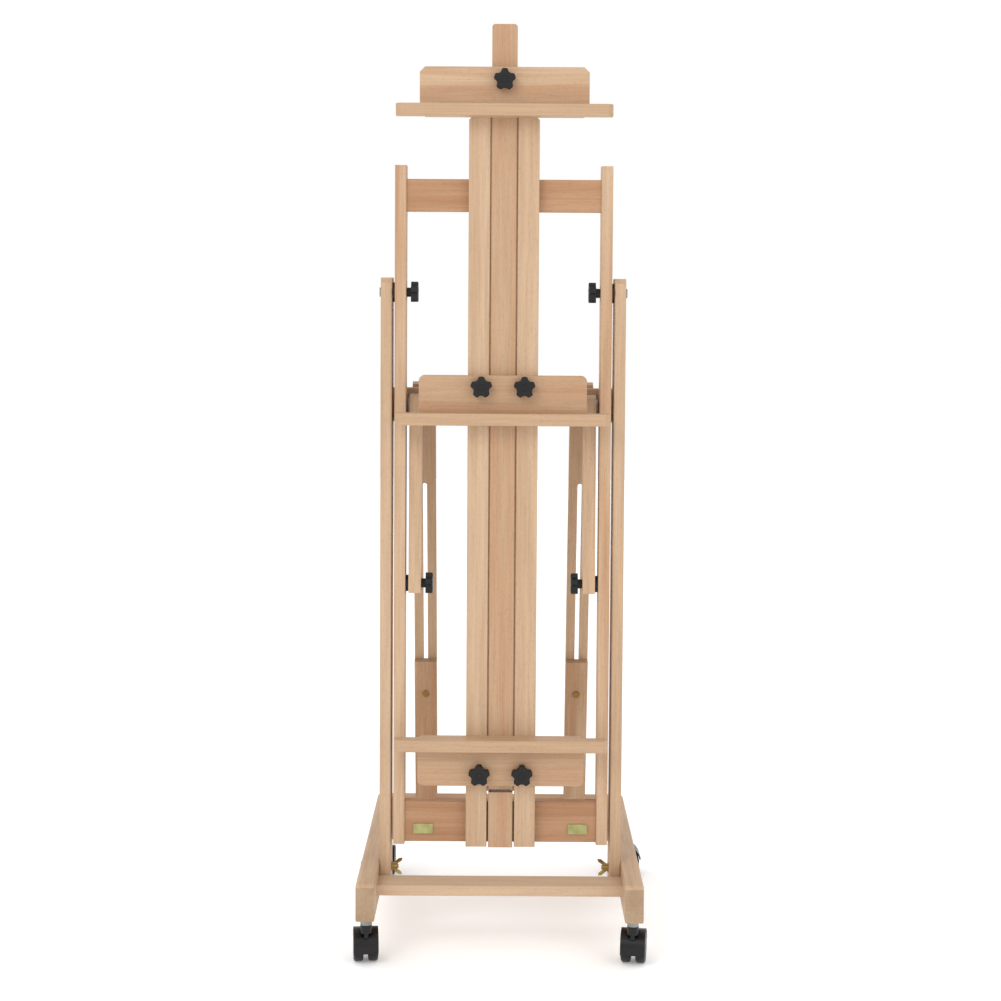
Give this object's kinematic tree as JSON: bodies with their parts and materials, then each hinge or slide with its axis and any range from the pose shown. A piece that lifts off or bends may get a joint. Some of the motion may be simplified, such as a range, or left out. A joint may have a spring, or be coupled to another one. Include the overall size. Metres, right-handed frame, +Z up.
{
  "type": "artist easel",
  "caption": "Wooden studio easel: upright posts on a castered base, tilting mast frame, sliding centre bar, top canvas holder, two clamping trays and a telescoping rear brace.",
  "frame": {"origin": "on the floor, midway between the two runners, 255 mm behind the front casters' stems", "axes": "+X to the painter's right, +Y to the back, +Z up"},
  "size_m": [0.5896, 0.645, 1.778],
  "materials": {
    "beech": "satin",
    "black_plastic": "matte",
    "caster_black": "satin",
    "wheel_black": "matte",
    "zinc_steel": "satin",
    "yellow_zinc": "satin",
    "pale_catch": "satin"
  },
  "bodies": {
    "base": {"left_runner": "beech", "right_runner": "beech", "front_cross_bar": "beech", "rear_cross_bar": "beech", "base_screws": "zinc_steel", "caster_stems": "zinc_steel", "upright_bolts": "yellow_zinc", "hinge_base_leaves": "yellow_zinc"},
    "uprights": {"left_upright": "beech", "right_upright": "beech", "upright_cross_rail": "beech", "pivot_bolts": "zinc_steel", "pivot_spacers": "black_plastic", "upright_hinges": "zinc_steel"},
    "frame": {"left_stile": "beech", "right_stile": "beech", "frame_top_rail": "beech", "frame_bottom_rail": "beech", "left_mast_strip": "beech", "right_mast_strip": "beech", "frame_screws": "zinc_steel", "mast_stop_block": "beech", "catch_plates": "pale_catch"},
    "bar": {"centre_bar": "beech"},
    "top_holder": {"top_holder_panel": "beech", "top_holder_lip": "beech", "top_holder_cleat": "beech"},
    "canvas_tray": {"canvas_tray_panel": "beech", "canvas_tray_lip": "beech", "canvas_tray_cleat": "beech"},
    "lower_tray": {"lower_tray_panel": "beech", "lower_tray_lip": "beech", "lower_tray_cleat": "beech"},
    "arms": {"stay_arms": "beech", "arm_spacers": "black_plastic"},
    "struts": {"brace_struts": "beech"},
    "foot": {"foot_boards": "beech", "foot_rail": "beech", "strut_bolts": "yellow_zinc", "hinge_flap_leaves": "yellow_zinc"},
    "caster_front_left": {"caster_front_left_housing": "caster_black"},
    "wheels_front_left": {"caster_front_left_wheels": "wheel_black"},
    "caster_front_right": {"caster_front_right_housing": "caster_black"},
    "wheels_front_right": {"caster_front_right_wheels": "wheel_black"},
    "caster_rear_left": {"caster_rear_left_housing": "caster_black"},
    "wheels_rear_left": {"caster_rear_left_wheels": "wheel_black"},
    "caster_rear_right": {"caster_rear_right_housing": "caster_black"},
    "wheels_rear_right": {"caster_rear_right_wheels": "wheel_black"},
    "top_holder_knob": {"top_holder_knob": "black_plastic"},
    "canvas_tray_left_knob": {"canvas_tray_left_knob": "black_plastic"},
    "lower_tray_left_knob": {"lower_tray_left_knob": "black_plastic"},
    "left_pivot_knob": {"left_pivot_knob": "black_plastic"},
    "left_arm_knob": {"left_arm_knob": "black_plastic"},
    "left_strut_knob": {"left_strut_knob": "black_plastic"},
    "canvas_tray_right_knob": {"canvas_tray_right_knob": "black_plastic"},
    "lower_tray_right_knob": {"lower_tray_right_knob": "black_plastic"},
    "right_pivot_knob": {"right_pivot_knob": "black_plastic"},
    "right_arm_knob": {"right_arm_knob": "black_plastic"},
    "right_strut_knob": {"right_strut_knob": "black_plastic"},
    "mast_lock_knob": {"mast_lock_knob": "black_plastic"}
  },
  "joints": [
    {"name": "upright_tilt", "type": "hinge", "parent": "base", "child": "uprights", "pos_m": [0, -0.113, 0.145], "axis": [-1, 0, 0], "range_deg": [-3, 8]},
    {"name": "foot_tilt", "type": "hinge", "parent": "base", "child": "foot", "pos_m": [0, 0.198, 0.143], "axis": [-1, 0, 0], "range_deg": [-4, 9]},
    {"name": "strut_slide", "type": "slide", "parent": "foot", "child": "struts", "axis": [0, -0.238, 0.9713], "range_m": [-0.045, 0.02]},
    {"name": "frame_tilt", "type": "hinge", "parent": "uprights", "child": "frame", "pos_m": [0, -0.1275, 1.271], "axis": [-1, 0, 0], "range_deg": [0, 50]},
    {"name": "arm_swing", "type": "hinge", "parent": "uprights", "child": "arms", "pos_m": [0, -0.1075, 1.052], "axis": [-1, 0, 0], "range_deg": [-1, 81]},
    {"name": "bar_slide", "type": "slide", "parent": "frame", "child": "bar", "axis": [0, 0, 1], "range_m": [0, 0.4]},
    {"name": "top_holder_slide", "type": "slide", "parent": "bar", "child": "top_holder", "axis": [0, 0, 1], "range_m": [0, 0.08]},
    {"name": "canvas_tray_slide", "type": "slide", "parent": "frame", "child": "canvas_tray", "axis": [0, 0, 1], "range_m": [-0.35, 0.28]},
    {"name": "lower_tray_slide", "type": "slide", "parent": "frame", "child": "lower_tray", "axis": [0, 0, 1], "range_m": [-0.012, 0.24]},
    {"name": "swivel_front_left", "type": "hinge", "parent": "base", "child": "caster_front_left", "pos_m": [-0.2525, -0.255, 0.08], "axis": [0, 0, 1], "continuous": true},
    {"name": "roll_front_left", "type": "hinge", "parent": "caster_front_left", "child": "wheels_front_left", "pos_m": [-0.2548, -0.23312, 0.03], "axis": [0.9945, 0.1045, 0], "continuous": true},
    {"name": "swivel_front_right", "type": "hinge", "parent": "base", "child": "caster_front_right", "pos_m": [0.2525, -0.255, 0.08], "axis": [0, 0, 1], "continuous": true},
    {"name": "roll_front_right", "type": "hinge", "parent": "caster_front_right", "child": "wheels_front_right", "pos_m": [0.25556, -0.23321, 0.03], "axis": [0.9903, -0.1392, 0], "continuous": true},
    {"name": "swivel_rear_left", "type": "hinge", "parent": "base", "child": "caster_rear_left", "pos_m": [-0.2525, 0.32, 0.08], "axis": [0, 0, 1], "continuous": true},
    {"name": "roll_rear_left", "type": "hinge", "parent": "caster_rear_left", "child": "wheels_rear_left", "pos_m": [-0.2525, 0.298, 0.03], "axis": [-1, 0, 0], "continuous": true},
    {"name": "swivel_rear_right", "type": "hinge", "parent": "base", "child": "caster_rear_right", "pos_m": [0.2525, 0.32, 0.08], "axis": [0, 0, 1], "continuous": true},
    {"name": "roll_rear_right", "type": "hinge", "parent": "caster_rear_right", "child": "wheels_rear_right", "pos_m": [0.2745, 0.32, 0.03], "axis": [0, -1, 0], "continuous": true},
    {"name": "top_holder_knob_turn", "type": "hinge", "parent": "top_holder", "child": "top_holder_knob", "pos_m": [0, -0.181, 1.671], "axis": [0, -1, 0], "continuous": true},
    {"name": "canvas_tray_left_knob_turn", "type": "hinge", "parent": "canvas_tray", "child": "canvas_tray_left_knob", "pos_m": [-0.041, -0.181, 1.092], "axis": [0, -1, 0], "continuous": true},
    {"name": "lower_tray_left_knob_turn", "type": "hinge", "parent": "lower_tray", "child": "lower_tray_left_knob", "pos_m": [-0.041, -0.181, 0.3475], "axis": [0, -1, 0], "continuous": true},
    {"name": "left_pivot_knob_turn", "type": "hinge", "parent": "uprights", "child": "left_pivot_knob", "pos_m": [-0.18, -0.1275, 1.271], "axis": [1, 0, 0], "continuous": true},
    {"name": "left_arm_knob_turn", "type": "hinge", "parent": "arms", "child": "left_arm_knob", "pos_m": [-0.15, -0.1275, 0.708], "axis": [1, 0, 0], "continuous": true},
    {"name": "left_strut_knob_turn", "type": "hinge", "parent": "foot", "child": "left_strut_knob", "pos_m": [-0.155, 0.11797, 0.45492], "axis": [0, 0.9713, 0.238], "continuous": true},
    {"name": "canvas_tray_right_knob_turn", "type": "hinge", "parent": "canvas_tray", "child": "canvas_tray_right_knob", "pos_m": [0.041, -0.181, 1.092], "axis": [0, -1, 0], "continuous": true},
    {"name": "lower_tray_right_knob_turn", "type": "hinge", "parent": "lower_tray", "child": "lower_tray_right_knob", "pos_m": [0.041, -0.181, 0.3475], "axis": [0, -1, 0], "continuous": true},
    {"name": "right_pivot_knob_turn", "type": "hinge", "parent": "uprights", "child": "right_pivot_knob", "pos_m": [0.18, -0.1275, 1.271], "axis": [-1, 0, 0], "continuous": true},
    {"name": "right_arm_knob_turn", "type": "hinge", "parent": "arms", "child": "right_arm_knob", "pos_m": [0.15, -0.1275, 0.708], "axis": [-1, 0, 0], "continuous": true},
    {"name": "right_strut_knob_turn", "type": "hinge", "parent": "foot", "child": "right_strut_knob", "pos_m": [0.155, 0.11797, 0.45492], "axis": [0, 0.9713, 0.238], "continuous": true},
    {"name": "mast_lock_knob_turn", "type": "hinge", "parent": "frame", "child": "mast_lock_knob", "pos_m": [0, -0.1245, 1.456], "axis": [0, 1, 0], "continuous": true}
  ],
  "couplings": [
    {"joint": "foot_tilt", "follows": "upright_tilt", "ratio": 0.935},
    {"joint": "strut_slide", "follows": "upright_tilt", "m_per_rad": -0.3},
    {"joint": "arm_swing", "follows": "frame_tilt", "ratio": 1.585}
  ]
}
